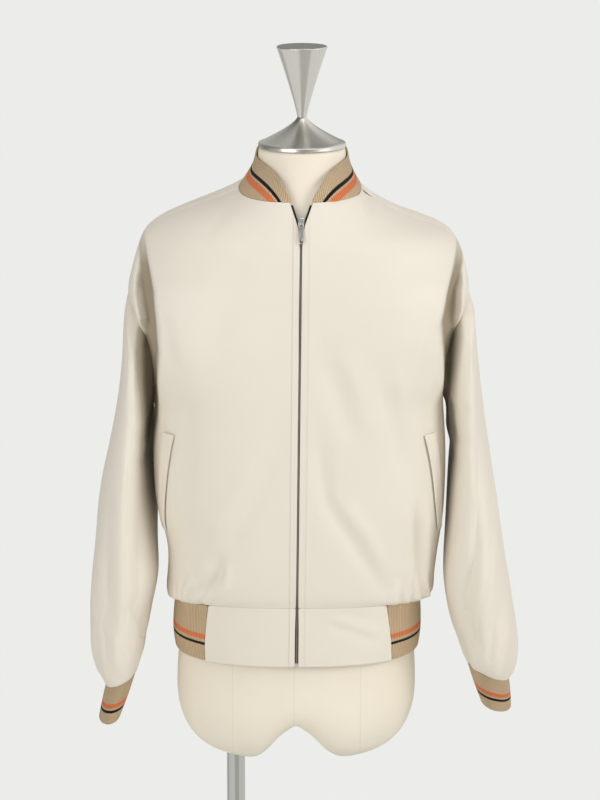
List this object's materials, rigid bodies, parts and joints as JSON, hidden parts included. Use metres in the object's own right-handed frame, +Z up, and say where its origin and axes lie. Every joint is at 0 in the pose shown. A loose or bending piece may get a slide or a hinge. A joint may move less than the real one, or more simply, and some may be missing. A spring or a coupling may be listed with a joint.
{
  "type": "monkey jacket on a dress form",
  "caption": "Zip-fronted cream blouson with striped rib collar, cuffs and hem, standing on a limbless dress form with a steel pole and round base.",
  "frame": {"origin": "centre of the underside of the round base plate, on the floor", "axes": "+Z up, the front of the jacket faces -Y, the wearer's left is on +X"},
  "size_m": [0.576, 0.38, 1.4017],
  "materials": {
    "shell_cloth": "smooth close-woven cotton blend, cream, matt with a faint sheen",
    "rib_knit": "two-by-two rib knit, tan with one orange and one black stripe",
    "zip_tape": "dark woven tape and moulded coil teeth",
    "zip_metal": "plated silver-coloured metal",
    "form_cover": "taut jersey over a hard shell, ivory",
    "steel_spun": "spun steel, satin with a bright rim",
    "steel_stand": "satin steel tube and plate"
  },
  "bodies": {
    "root": {"front_right": "shell_cloth", "front_left": "shell_cloth", "back": "shell_cloth", "sleeve_right": "shell_cloth", "cuff_right": "rib_knit", "sleeve_left": "shell_cloth", "cuff_left": "rib_knit", "hem_band_right": "shell_cloth", "hem_band_left": "shell_cloth", "hem_rib": "rib_knit", "collar_rib": "rib_knit", "pocket_welt_right": "shell_cloth", "pocket_welt_left": "shell_cloth", "zip_chain": "zip_tape", "zip_tape_right": "zip_tape", "zip_teeth_right": "zip_tape", "zip_tape_left": "zip_tape", "zip_teeth_left": "zip_tape", "zip_stop": "zip_metal", "zip_slider": "zip_metal", "form_torso": "form_cover", "neck_cap": "steel_spun", "finial": "steel_spun", "pole": "steel_stand", "base_plate": "steel_stand"},
    "zip_pull": {"zip_pull": "zip_metal"}
  },
  "joints": [
    {"name": "pull_swing", "type": "hinge", "parent": "root", "child": "zip_pull", "pos_m": [-0.0009, -0.101, 1.18556], "axis": [-1, 0, 0], "range_deg": [0, 130]}
  ]
}
